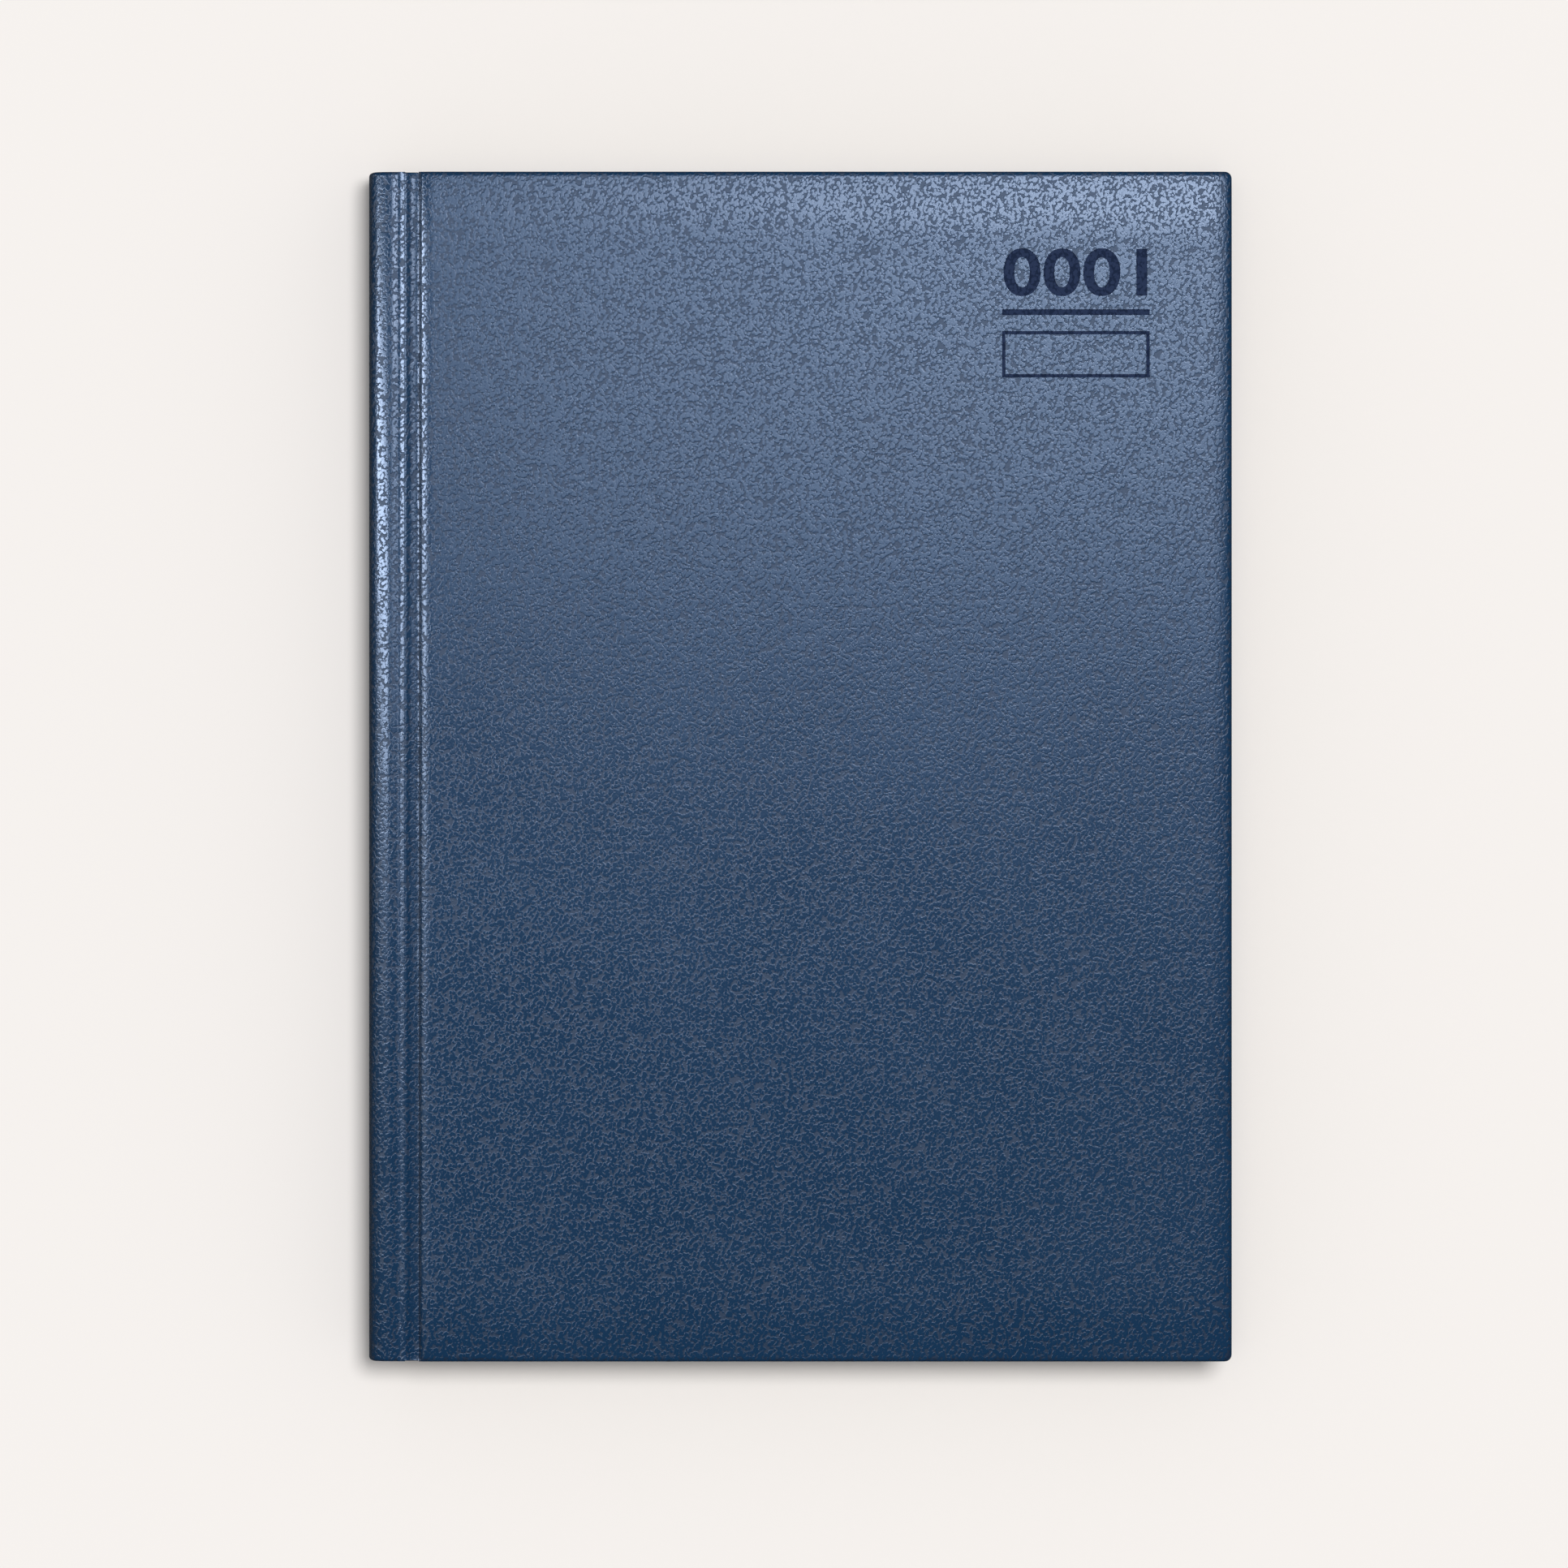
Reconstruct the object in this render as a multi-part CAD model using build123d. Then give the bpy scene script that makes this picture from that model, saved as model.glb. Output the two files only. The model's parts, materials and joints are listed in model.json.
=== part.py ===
"""Case-bound pilot logbook with padded covers, sewn sections and turning leaves.

The book lies on its back cover. +X runs from the spine to the fore-edge, +Y to the head and
+Z out of the front cover. The origin is under the centre of the closed book.
The case is two padded boards and a card spine strip in one leathercloth skin. The block is
sewn sections, lined at the spine, between two endpapers. Each endpaper is a pastedown on its
cover and a flyleaf that turns.
"""

from build123d import *
import os

# Block: trimmed leaves in folded and sewn sections.
page_width = 173.0
page_height = 240.0
section_count = 8
section_thickness = 2.0
flyleaf_thickness = 0.25
turning_groups = 4

# Leaves turn about a line in the gutter and bend over the width of their gutter margin.
gutter_bend = 22.0
leaf_clearance = 0.3

# Layers behind the block, from the outside in.
skin_thickness = 0.5
strip_thickness = 0.7
hollow_gap = 0.2
lining_thickness = 0.2
mull_thickness = 0.2
adhesive_thickness = 0.3

# Spine: a shallow round with rounded shoulders, and the groove beside it.
spine_depth = 7.5
spine_bulge = 0.5
shoulder_radius = 4.6
groove_width = 3.3
groove_clearance = 0.3
flange_lift = 0.05

# Covers: board, foam and skin, with the pastedown on the inside.
head_square = 3.0
fore_square = 3.5
board_thickness = 2.2
foam_thickness = 1.4
pastedown_thickness = 0.2
cover_clearance = 0.1
turn_in_width = 15.0
pastedown_margin = 4.0
pastedown_play = 0.1
corner_radius = 1.4

# The padded top rolls off to its edges, and ends in a small edge radius.
head_roll_width = 13.0
head_roll_drop = 1.0
fore_roll_width = 5.0
fore_roll_drop = 0.7
hinge_roll_width = 2.0
hinge_roll_drop = 0.4
edge_radius = 0.9

# The front cover's stamped panel: a rule over a blank name frame.
stamp_depth = 0.2
stamp_width = 30.5
stamp_fore_distance = 17.0
rule_head_distance = 29.1
rule_height = 1.2
frame_drop = 3.3
frame_height = 9.6
frame_line = 0.7

# Hinge line of each cover, measured from the block and from the groove's spine side.
hinge_lift = 3.8
hinge_offset = 1.8

# Head and tail bands, and the stitches that hold the sections.
band_thickness = 2.0
band_height = 1.8
liner_end_gap = 4.0
stitch_count = 6
stitch_length = 18.0
stitch_pitch = 36.0
thread_size = 0.2
thread_play = 0.02

# Worked out from the above.
lining_inset = skin_thickness + strip_thickness + hollow_gap
mull_inset = lining_inset + lining_thickness
adhesive_inset = mull_inset + mull_thickness
block_inset = adhesive_inset + adhesive_thickness
block_thickness = section_count * section_thickness + 2 * flyleaf_thickness
inner_cover_gap = cover_clearance + pastedown_thickness
cover_thickness = inner_cover_gap + 2 * skin_thickness + board_thickness + foam_thickness
book_thickness = block_thickness + 2 * cover_thickness
mid_height = book_thickness / 2
block_bottom = cover_thickness
block_top = block_bottom + block_thickness
overall_width = block_inset + page_width + fore_square
cover_height = page_height + 2 * head_square
spine_x = -overall_width / 2
fore_x = overall_width / 2
page_fore_x = fore_x - fore_square
ridge_x = spine_x + spine_depth
cover_x = ridge_x + groove_width
groove_end_x = cover_x - groove_clearance
ridge_top = block_top + block_inset
round_half_height = ridge_top - shoulder_radius - mid_height
hinge_x = ridge_x + hinge_offset
front_hinge_z = block_top + hinge_lift
back_hinge_z = block_bottom - hinge_lift
free_leaf_x = hinge_x + gutter_bend
gutter_end_x = free_leaf_x - leaf_clearance
cover_base_z = block_top + inner_cover_gap
board_base_z = cover_base_z + skin_thickness
board_top_z = board_base_z + board_thickness
leaf_group_thickness = section_thickness / turning_groups
turning_base_z = block_top - flyleaf_thickness - section_thickness


def along_y(face, length, centre=0.0):
    """The prism of an XZ face, centred on a Y position."""
    return Pos(0, centre, 0) * extrude(face, length / 2, both=True)


def slab(x_low, x_high, z_low, z_high, length, centre=0.0):
    """A plain block between two X and two Z values."""
    middle = Pos((x_low + x_high) / 2, centre, (z_low + z_high) / 2)
    return middle * Box(x_high - x_low, length, z_high - z_low)


def turned_over(shape):
    """The back cover's copy of a front cover piece."""
    return mirror(shape, Plane.XY.offset(mid_height))


def spine_region(inset, x_end):
    """The XZ face inside the spine's round, closed at x_end."""
    top = ridge_top - inset
    bottom = 2 * mid_height - top
    shoulder = shoulder_radius - inset
    shoulder_x = spine_x + spine_bulge + shoulder_radius
    side_x = shoulder_x - shoulder
    diagonal = shoulder * (1 - 0.5**0.5)
    upper = ThreePointArc(
        (shoulder_x, 0, top),
        (side_x + diagonal, 0, top - diagonal),
        (side_x, 0, top - shoulder),
    )
    back = ThreePointArc(upper @ 1, (spine_x + inset, 0, mid_height), (side_x, 0, bottom + shoulder))
    lower = ThreePointArc(
        back @ 1,
        (side_x + diagonal, 0, bottom + diagonal),
        (shoulder_x, 0, bottom),
    )
    rest = Polyline(lower @ 1, (x_end, 0, bottom), (x_end, 0, top), upper @ 0)
    return make_face([upper, back, lower, rest])


def spine_layer(outer_inset, inner_inset, x_end):
    """The XZ face of one layer that wraps the spine."""
    return spine_region(outer_inset, x_end) - spine_region(inner_inset, x_end + 1)


def rolled_end(end, outward, top, width, drop):
    """Arcs of a padded edge: the long roll-off from the flat top, then the edge radius."""
    start = end - outward * (width + edge_radius)
    knee = end - outward * edge_radius
    corner = edge_radius * (1 - 0.5**0.5)
    roll = ThreePointArc(
        (start, top),
        ((start + knee) / 2, top - drop / 4),
        (knee, top - drop),
    )
    edge = ThreePointArc(
        roll @ 1,
        (end - outward * corner, top - drop - corner),
        (end, top - drop - edge_radius),
    )
    return [roll, edge]


def padded_profile(low, high, base, top, low_roll, high_roll):
    """A cover's section: flat base, upright sides and a top that rolls off at both ends."""
    left = rolled_end(low, -1, top, *low_roll)
    right = rolled_end(high, 1, top, *high_roll)
    crown = Line(left[0] @ 0, right[0] @ 0)
    sides = Polyline(right[1] @ 1, (high, base), (low, base), left[1] @ 1)
    return make_face([*left, crown, *right, sides])


def cover_form(inset, base):
    """The front cover's padded form, taken in by inset, standing on base."""
    top = book_thickness - inset
    hinge_roll = (hinge_roll_width, hinge_roll_drop)
    fore_roll = (fore_roll_width, fore_roll_drop)
    head_roll = (head_roll_width, head_roll_drop)
    half_height = cover_height / 2 - inset
    low, high = cover_x + inset, fore_x - inset
    across = Plane.XZ * padded_profile(low, high, base, top, hinge_roll, fore_roll)
    lengthwise = Plane.YZ * padded_profile(-half_height, half_height, base, top, head_roll, head_roll)
    form = extrude(across, cover_height, both=True) & extrude(lengthwise, overall_width, both=True)
    return form - corner_cutters(high, half_height, corner_radius - inset)


def corner_cutters(high, half_height, radius):
    """What rounding takes off the two fore-edge corners of a cover."""
    cutters = []
    for side in (-1, 1):
        square = Pos(radius / 2 + 0.5, side * (radius / 2 + 0.5)) * Rectangle(radius + 1, radius + 1)
        outline = Pos(high - radius, side * (half_height - radius)) * (square - Circle(radius))
        cutters.append(extrude(outline, book_thickness + 1))
    return cutters


def front_skin():
    """Leathercloth over foam and board, with turn-ins and the stamped panel."""
    shell = cover_form(0, cover_base_z) - cover_form(skin_thickness, board_base_z)
    window_fore = fore_x - turn_in_width
    window_height = cover_height - 2 * turn_in_width
    window = slab(cover_x + skin_thickness, window_fore, cover_base_z, board_base_z, window_height)
    return shell - window - stamped_panel()


def stamped_panel():
    """The rule and the outline frame that are pressed into the front cover."""
    floor = book_thickness - stamp_depth
    middle_x = fore_x - stamp_fore_distance - stamp_width / 2
    rule_y = cover_height / 2 - rule_head_distance
    frame_y = rule_y - rule_height / 2 - frame_drop - frame_height / 2
    rule = Pos(middle_x, rule_y, floor) * extrude(Rectangle(stamp_width, rule_height), 1)
    outer = Rectangle(stamp_width, frame_height)
    inner = Rectangle(stamp_width - 2 * frame_line, frame_height - 2 * frame_line)
    frame = Pos(middle_x, frame_y, floor) * extrude(outer - inner, 1)
    return rule + frame


def front_board():
    """Greyboard that stiffens the cover."""
    everything = cover_form(skin_thickness, board_base_z)
    return everything & slab(spine_x, fore_x, board_base_z, board_top_z, cover_height)


def front_foam():
    """Foam sheet that pads the cover."""
    everything = cover_form(skin_thickness, board_base_z)
    return everything & slab(spine_x, fore_x, board_top_z, book_thickness, cover_height)


def front_pastedown():
    """Endpaper half that lines the cover: a step fills the window between the turn-ins."""
    sheet_base = cover_base_z - pastedown_thickness
    sheet_low = cover_x + skin_thickness + pastedown_play
    sheet_height = cover_height - 2 * pastedown_margin
    sheet = slab(sheet_low, fore_x - pastedown_margin, sheet_base, cover_base_z, sheet_height)
    step_high = fore_x - turn_in_width - pastedown_play
    step_height = cover_height - 2 * (turn_in_width + pastedown_play)
    return sheet + slab(sheet_low, step_high, cover_base_z, board_base_z, step_height)


def spine_skin():
    """Leathercloth over the spine strip, down into both grooves and over the strip's ends."""
    shell = along_y(spine_layer(0, skin_thickness, ridge_x), cover_height)
    flange_base = ridge_top - mull_inset + flange_lift
    wall_x = ridge_x - skin_thickness
    flange_top = flange_base + skin_thickness
    wall = slab(wall_x, ridge_x, flange_base, ridge_top, cover_height)
    flange = slab(wall_x, groove_end_x, flange_base, flange_top, cover_height)
    joint = wall + flange
    cap_face = spine_layer(0, skin_thickness + strip_thickness, wall_x)
    cap_y = (cover_height - skin_thickness) / 2
    caps = along_y(cap_face, skin_thickness, cap_y) + along_y(cap_face, skin_thickness, -cap_y)
    return shell + joint + turned_over(joint) + caps


def spine_strip():
    """Bent card that stiffens the spine."""
    face = spine_layer(skin_thickness, skin_thickness + strip_thickness, ridge_x - skin_thickness)
    return along_y(face, cover_height - 2 * skin_thickness)


def spine_lining():
    """Kraft paper glued over the mull."""
    face = spine_layer(lining_inset, mull_inset, ridge_x - skin_thickness)
    return along_y(face, page_height - 2 * liner_end_gap)


def mull():
    """Open-weave cloth that ties the block to the case at both grooves."""
    face = spine_layer(mull_inset, adhesive_inset, groove_end_x)
    return along_y(face, page_height - 2 * liner_end_gap)


def stitch_places():
    """Centre of each stitch on the folds of the sections."""
    depth = adhesive_inset + adhesive_thickness / 2
    first_y = -stitch_pitch * (stitch_count - 1) / 2
    for row in range(section_count):
        z = block_bottom + flyleaf_thickness + (row + 0.5) * section_thickness
        off_centre = (z - mid_height) / round_half_height
        if abs(off_centre) > 0.9:
            continue
        x = spine_x + depth + spine_bulge * off_centre**2
        for column in range(stitch_count):
            yield x, first_y + column * stitch_pitch, z


def sewing_thread():
    """Stitches that lie on the folds, in the adhesive."""
    stitch = Box(thread_size, stitch_length, thread_size)
    return Compound([Pos(*place) * stitch for place in stitch_places()])


def spine_adhesive():
    """Glue film over the folds, with a channel round each stitch."""
    film = along_y(spine_layer(adhesive_inset, block_inset, groove_end_x), page_height)
    channel_size = thread_size + 2 * thread_play
    channel = Box(channel_size, stitch_length + 2 * thread_play, channel_size)
    return film - [Pos(*place) * channel for place in stitch_places()]


def end_band(side):
    """Corded band over the end of the block's spine. side is 1 at the head, -1 at the tail."""
    face = spine_layer(lining_inset, lining_inset + band_thickness, ridge_x - skin_thickness)
    return along_y(face, band_height, side * (page_height + band_height) / 2)


def block_layer(z_low, z_high, x_end):
    """Folded leaves between two heights, from the spine's round to x_end."""
    block = along_y(spine_region(block_inset, page_fore_x), page_height)
    return block & slab(spine_x, x_end, z_low, z_high, page_height)


def free_leaf(z_low, z_high):
    """The part of a leaf, or group of leaves, that turns."""
    return slab(free_leaf_x, page_fore_x, z_low, z_high, page_height)


def build_sections():
    """Sewn sections, numbered from the front. The first holds only its gutter."""
    first_end = {1: gutter_end_x}
    top = block_top - flyleaf_thickness
    pieces = {}
    for number in range(1, section_count + 1):
        high = top - (number - 1) * section_thickness
        end = first_end.get(number, page_fore_x)
        pieces[f"section_{number}"] = block_layer(high - section_thickness, high, end)
    return pieces


def build_leaves():
    """Flyleaves, their gutters and the turning leaves of the first section."""
    fly_low = block_top - flyleaf_thickness
    pieces = {
        "front_flyleaf": free_leaf(fly_low, block_top),
        "front_flyleaf_gutter": block_layer(fly_low, block_top, gutter_end_x),
    }
    for name in list(pieces):
        pieces[name.replace("front", "back")] = turned_over(pieces[name])
    for group in range(turning_groups):
        low = turning_base_z + (turning_groups - 1 - group) * leaf_group_thickness
        pieces[f"leaf_group_{group + 1}"] = free_leaf(low, low + leaf_group_thickness)
    return pieces


def build_covers():
    """Both padded covers. The back one has no stamped panel."""
    pieces = {
        "front_board": front_board(),
        "front_foam": front_foam(),
        "front_pastedown": front_pastedown(),
        "front_skin": front_skin(),
    }
    for name in ("board", "foam", "pastedown"):
        pieces[f"back_{name}"] = turned_over(pieces[f"front_{name}"])
    pieces["back_skin"] = turned_over(pieces["front_skin"] + stamped_panel_filling())
    return pieces


def stamped_panel_filling():
    """Skin that fills the stamped panel flush, for the cover that has no stamp."""
    flush = slab(spine_x, fore_x, book_thickness - stamp_depth, book_thickness, cover_height)
    return stamped_panel() & flush


def build_spine():
    """Everything that wraps the block's back."""
    return {
        "spine_skin": spine_skin(),
        "spine_strip": spine_strip(),
        "spine_lining": spine_lining(),
        "mull": mull(),
        "spine_adhesive": spine_adhesive(),
        "sewing_thread": sewing_thread(),
        "head_band": end_band(1),
        "tail_band": end_band(-1),
    }


def main():
    os.makedirs("parts", exist_ok=True)
    pieces = {**build_covers(), **build_spine(), **build_sections(), **build_leaves()}
    for name, shape in pieces.items():
        export_step(shape, f"parts/{name}.step")
    print(f"{len(pieces)} nodes, {overall_width:.1f} x {cover_height:.1f} x {book_thickness:.1f} mm")


if __name__ == "__main__":
    main()
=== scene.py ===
"""Looks of a case-bound pilot logbook: padded leathercloth covers, paper leaves and stage."""

import json
import math
import random

import bmesh
import bpy
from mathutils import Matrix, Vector


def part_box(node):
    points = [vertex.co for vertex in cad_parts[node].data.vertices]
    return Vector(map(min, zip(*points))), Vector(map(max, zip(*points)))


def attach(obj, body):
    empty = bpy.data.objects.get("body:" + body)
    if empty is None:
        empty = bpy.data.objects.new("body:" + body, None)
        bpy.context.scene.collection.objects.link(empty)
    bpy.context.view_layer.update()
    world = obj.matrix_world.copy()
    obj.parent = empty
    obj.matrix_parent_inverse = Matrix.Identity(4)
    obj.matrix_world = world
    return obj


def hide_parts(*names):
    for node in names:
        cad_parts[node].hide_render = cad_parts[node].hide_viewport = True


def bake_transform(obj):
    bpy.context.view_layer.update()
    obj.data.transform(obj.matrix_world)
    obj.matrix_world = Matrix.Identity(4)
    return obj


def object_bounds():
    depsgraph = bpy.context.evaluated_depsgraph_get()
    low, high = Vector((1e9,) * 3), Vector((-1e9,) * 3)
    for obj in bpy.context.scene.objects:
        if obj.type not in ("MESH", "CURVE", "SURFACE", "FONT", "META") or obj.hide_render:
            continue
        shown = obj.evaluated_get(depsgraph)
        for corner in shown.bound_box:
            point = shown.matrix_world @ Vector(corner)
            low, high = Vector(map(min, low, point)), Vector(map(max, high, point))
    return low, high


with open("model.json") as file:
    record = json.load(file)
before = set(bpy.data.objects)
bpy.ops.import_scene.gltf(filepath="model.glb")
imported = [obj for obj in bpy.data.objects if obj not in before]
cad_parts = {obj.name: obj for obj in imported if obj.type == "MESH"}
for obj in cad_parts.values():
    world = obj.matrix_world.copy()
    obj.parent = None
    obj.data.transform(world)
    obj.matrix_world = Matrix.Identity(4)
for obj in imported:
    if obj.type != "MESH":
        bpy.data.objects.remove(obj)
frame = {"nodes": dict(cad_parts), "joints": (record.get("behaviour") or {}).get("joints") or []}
cad_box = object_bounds()

MM = 0.001
UV_UNIT = 0.1
# Dark ends of the cloth colours: painted shade between the pebbles, and the darker clouds.
LEATHER_SHADE_AND_DARK_CLOUD = (0.0010, 0.0140, 0.0430, 1)
LEATHER_LIGHT = (0.0045, 0.0320, 0.0840, 1)
PRESSED_SHADE_AND_DARK_CLOUD = (0.0090, 0.0160, 0.0400, 1)
PRESSED_LIGHT = (0.0170, 0.0290, 0.0720, 1)


def corners(node):
    """Lowest and highest corner of a CAD node, as vectors."""
    low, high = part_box(node)
    return Vector(low), Vector(high)


COVER_LOW, COVER_HIGH = corners("front_skin")
SPINE_LOW, SPINE_HIGH = corners("spine_skin")
FLYLEAF_LOW, _ = corners("front_flyleaf")
MIDDLE_Z = (SPINE_LOW.z + SPINE_HIGH.z) / 2
SPINE_X = SPINE_LOW.x
FREE_LEAF_X = FLYLEAF_LOW.x
HINGE_X = [j for j in frame["joints"] if j["name"] == "front_cover_hinge"][0]["pos_m"][0]

# Width and depth of the roll at each edge of a padded cover.
HEAD_ROLL = 13.9 * MM, 1.0 * MM
FORE_ROLL = 5.4 * MM, 0.9 * MM
GROOVE_ROLL = 2.8 * MM, 0.5 * MM

# Steps of a cover's cloth through the groove to the spine, in mm along x and z.
GROOVE_STEPS = (
    (-0.35, -0.1),
    (-0.55, 0.0),
    (-0.5, 0.08),
    (-0.45, 0.2),
    (-0.4, 0.25),
    (-0.3, 0.18),
    (-0.27, 0.06),
    (-0.25, -0.01),
)

TURN_IN = 15 * MM
SPINE_ROUND = 4.4 * MM
LEAVES_PER_SECTION = 16
LEAVES_PER_GROUP = 4
PAPER_SHARE = 0.93


# Shader building


class Value:
    """A shader socket that takes part in Python arithmetic."""

    def __init__(self, finish, socket):
        self.finish = finish
        self.socket = socket

    def maths(self, operation, first, second):
        return self.finish.node("ShaderNodeMath", {"operation": operation}, {0: first, 1: second})

    def __add__(self, other):
        return self.maths("ADD", self, other)

    def __radd__(self, other):
        return self.maths("ADD", other, self)

    def __sub__(self, other):
        return self.maths("SUBTRACT", self, other)

    def __rsub__(self, other):
        return self.maths("SUBTRACT", other, self)

    def __mul__(self, other):
        return self.maths("MULTIPLY", self, other)

    def __rmul__(self, other):
        return self.maths("MULTIPLY", other, self)

    def __lt__(self, other):
        return self.maths("LESS_THAN", self, other)

    def __gt__(self, other):
        return self.maths("GREATER_THAN", self, other)

    def __mod__(self, other):
        return self.maths("FLOORED_MODULO", self, other)


class Finish:
    """One material and the nodes that make it."""

    def __init__(self, name, roughness=0.5, **constants):
        self.material = bpy.data.materials.new(name)
        self.material.use_nodes = True
        self.tree = self.material.node_tree
        self.shader = self.tree.nodes["Principled BSDF"]
        self.shader.inputs["Roughness"].default_value = roughness
        for socket, number in constants.items():
            self.shader.inputs[socket.replace("_", " ")].default_value = number

    def node(self, kind, settings=None, sockets=None, out=0):
        made = self.tree.nodes.new(kind)
        for setting, choice in (settings or {}).items():
            if setting == "stops":
                self.set_stops(made.color_ramp, choice)
            else:
                setattr(made, setting, choice)
        for key, given in (sockets or {}).items():
            if isinstance(given, Value):
                self.tree.links.new(given.socket, made.inputs[key])
            else:
                made.inputs[key].default_value = given
        return Value(self, made.outputs[out])

    @staticmethod
    def set_stops(ramp, stops):
        while len(ramp.elements) < len(stops):
            ramp.elements.new(0.5)
        for element, (place, shade) in zip(ramp.elements, stops):
            element.position = place
            element.color = (shade, shade, shade, 1)

    def feed(self, socket, value):
        self.tree.links.new(value.socket, self.shader.inputs[socket])

    def sheet_coordinates(self):
        """The piece's own flat pattern, 1 per 100 mm."""
        return self.node("ShaderNodeUVMap", {"uv_map": "cloth"})

    def object_coordinates(self):
        return self.node("ShaderNodeTexCoord", out=3)

    def noise(self, at, scale, detail=2.0, roughness=0.5):
        sockets = {"Vector": at, "Scale": scale, "Detail": detail, "Roughness": roughness}
        return self.node("ShaderNodeTexNoise", {}, sockets)

    def ramp(self, factor, *stops):
        return self.node("ShaderNodeValToRGB", {"stops": stops}, {0: factor})

    def mix(self, factor, first, second):
        settings = {"data_type": "RGBA", "blend_type": "MIX"}
        return self.node("ShaderNodeMix", settings, {0: factor, 6: first, 7: second}, out=2)

    def bump(self, height, distance, strength=1.0):
        sockets = {"Height": height, "Distance": distance, "Strength": strength}
        self.feed("Normal", self.node("ShaderNodeBump", {}, sockets))

    def greater(self, first, second):
        return self.node("ShaderNodeMath", {"operation": "MAXIMUM"}, {0: first, 1: second})

    def wave(self, angle):
        return self.node("ShaderNodeMath", {"operation": "SINE"}, {0: angle})

    def split(self, vector):
        """X, Y and Z of a vector."""
        made = self.node("ShaderNodeSeparateXYZ", {}, {0: vector})
        outputs = made.socket.node.outputs
        return Value(self, outputs[0]), Value(self, outputs[1]), Value(self, outputs[2])

    def stretch(self, vector, scale, turn=0.0):
        sockets = {"Vector": vector, "Scale": scale, "Rotation": (0, 0, turn)}
        return self.node("ShaderNodeMapping", {}, sockets)


def leathercloth(name, dark, light, sheen_roughness, sheen):
    """Embossed leathercloth: rounded pebbles with painted shade between them, under a soft
    cloudiness.
    """
    cloth = Finish(name, sheen_roughness, Specular_IOR_Level=sheen)
    flat = cloth.sheet_coordinates()
    wander = cloth.noise(flat, 60.0, 2.0)
    nudge = cloth.node("ShaderNodeVectorMath", {"operation": "SCALE"}, {0: wander, "Scale": 0.012})
    bent = cloth.node("ShaderNodeVectorMath", {"operation": "ADD"}, {0: flat, 1: nudge})
    grain = cloth.stretch(bent, (1.0, 0.82, 1.0), math.radians(38))
    rounded = {"feature": "SMOOTH_F1"}
    sockets = {"Vector": grain, "Scale": 168.0, "Smoothness": 0.25}
    distance = cloth.node("ShaderNodeTexVoronoi", rounded, sockets)
    pebble = cloth.ramp(distance, (0.45, 1.0), (0.57, 0.8), (0.70, 0.0))
    fine = cloth.noise(bent, 420.0, 2.0)
    patches = cloth.noise(flat, 16.0, 3.0)
    clouds = cloth.noise(flat, 3.2, 2.0)
    depth = 0.55 + 0.9 * patches
    cloth.bump(pebble * depth + 0.08 * fine + 1.2 * clouds, 0.00005, 1.0)
    # Colour: painted shade in the hollows between the pebbles, plus random cloudy tone.
    tone = 0.7 * pebble + 0.3 * clouds
    colour = cloth.mix(tone, dark, light)
    cloth.feed("Base Color", colour)
    cloth.feed("Roughness", sheen_roughness + 0.35 - 0.38 * pebble + 0.06 * clouds)
    return cloth.material


def paper(name, colour, shade, fibre=0.00002):
    """Uncoated paper with faint fibres."""
    sheet = Finish(name, 0.85, Specular_IOR_Level=0.25)
    place = sheet.object_coordinates()
    fibres = sheet.noise(sheet.stretch(place, (900.0, 260.0, 900.0)), 1.0, 3.0)
    mottle = sheet.noise(place, 35.0, 3.0)
    sheet.feed("Base Color", sheet.mix(0.5 * fibres + 0.5 * mottle, shade, colour))
    sheet.bump(fibres, fibre, 0.5)
    return sheet.material


def ruled_paper(name):
    """Page with a plain ruled log table and no lettering."""
    page = Finish(name, 0.82, Specular_IOR_Level=0.25)
    flat = page.sheet_coordinates()
    across, along, _ = page.split(flat)
    fibres = page.noise(page.stretch(flat, (90.0, 26.0, 1.0)), 1.0, 3.0)
    base = page.mix(fibres, (0.66, 0.64, 0.575, 1), (0.735, 0.715, 0.65, 1))
    in_width = (across > 0.16) * (across < 1.64)
    in_height = (along > 0.14) * (along < 2.22)
    table = in_width * in_height
    heading = table * (along > 2.02)
    rows = ((along - 0.14) % 0.0752) < 0.0022
    rows = rows * (1 - heading)
    lines = rows
    thin, thick = 0.003, 0.006
    columns = (
        (0.16, thick),
        (0.36, thin),
        (0.66, thin),
        (0.80, thin),
        (0.94, thin),
        (1.08, thick),
        (1.22, thin),
        (1.36, thin),
        (1.634, thick),
    )
    for place, width in columns:
        lines = page.greater(lines, (across > place) * (across < place + width))
    for place in (0.14, 2.018, 2.12, 2.214):
        lines = page.greater(lines, (along > place) * (along < place + thick))
    band = ((along - 0.14) % 0.1504) < 0.0752
    tint = page.mix(table * (0.35 * band + 0.9 * heading), base, (0.50, 0.58, 0.65, 1))
    page.feed("Base Color", page.mix(0.85 * lines * table, tint, (0.16, 0.24, 0.34, 1)))
    page.bump(fibres, 0.00002, 0.5)
    return page.material


def page_edges(name):
    """Trimmed paper edges: each leaf a little lighter or darker."""
    edge = Finish(name, 0.9, Specular_IOR_Level=0.2)
    place = edge.object_coordinates()
    leaves = edge.noise(edge.stretch(place, (12.0, 12.0, 5200.0)), 1.0, 2.0)
    smudge = edge.noise(place, 22.0, 3.0)
    tone = edge.ramp(0.7 * leaves + 0.3 * smudge, (0.25, 0.0), (0.75, 1.0))
    edge.feed("Base Color", edge.mix(tone, (0.50, 0.47, 0.40, 1), (0.74, 0.72, 0.66, 1)))
    edge.bump(leaves, 0.00006, 0.6)
    return edge.material


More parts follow.
